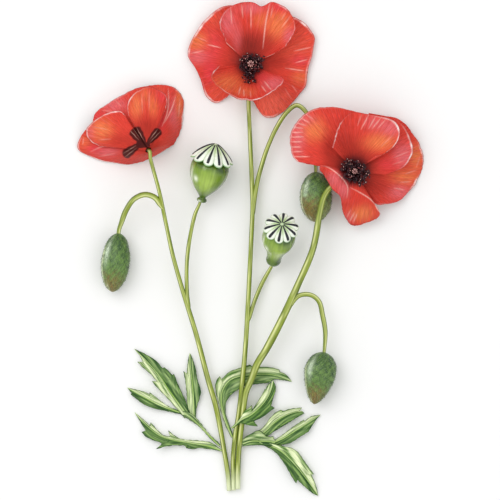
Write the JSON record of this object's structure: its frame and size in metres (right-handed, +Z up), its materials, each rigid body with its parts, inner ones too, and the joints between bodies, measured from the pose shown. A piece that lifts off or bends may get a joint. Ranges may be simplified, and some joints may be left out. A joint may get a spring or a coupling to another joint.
{
  "type": "poppy flower spray",
  "caption": "Cut spray of field poppy lying on a surface: open flowers, nodding buds, seed capsules and cut leaves on slender branched stems.",
  "frame": {"origin": "on the table under the middle of the spray's bounding box", "axes": "+X across the spray, +Y from the cut foot towards the top flower, +Z up from the table"},
  "size_m": [0.208, 0.2964, 0.0367],
  "materials": {
    "petal": "thin satin scarlet petal, maroon at the claw",
    "stamen": "dark purple-brown filaments and anthers",
    "pistil": "soft green ovary with a pale rayed disc",
    "stem": "fresh ribbed yellow-green stem, soft sheen",
    "bud": "matt green sepals with fine bristles, brown at the tip",
    "capsule": "smooth waxy bright green",
    "capsule_disc": "pale waxy disc with near-black rays",
    "leaf": "thin matt leaf, pale along the veins"
  },
  "bodies": {
    "root": {"top_flower_petal_upper": "petal", "top_flower_petal_lower": "petal", "top_flower_petal_left": "petal", "top_flower_petal_right": "petal", "top_flower_stamens": "stamen", "top_flower_pistil": "pistil", "right_flower_petal_left": "petal", "right_flower_petal_upper": "petal", "right_flower_petal_middle": "petal", "right_flower_petal_outer": "petal", "right_flower_petal_folded": "petal", "right_flower_stamens": "stamen", "right_flower_pistil": "pistil", "left_flower_petal_upper": "petal", "left_flower_petal_left": "petal", "left_flower_petal_right": "petal", "left_flower_petal_lower": "petal", "left_flower_petal_far": "petal", "left_flower_stamens": "stamen", "left_flower_pistil": "pistil", "left_stem": "stem", "middle_stem": "stem", "right_stem": "stem", "left_bud_stalk": "stem", "middle_bud_stalk": "stem", "right_bud_stalk": "stem", "left_capsule_stalk": "stem", "middle_capsule_stalk": "stem", "left_bud": "bud", "middle_bud": "bud", "right_bud": "bud", "left_capsule": "capsule", "left_capsule_disc": "capsule_disc", "middle_capsule": "capsule", "middle_capsule_disc": "capsule_disc", "upper_left_leaf": "leaf", "lower_left_leaf": "leaf", "arched_leaf": "leaf", "curled_leaf": "leaf", "right_leaf": "leaf"}
  },
  "joints": []
}
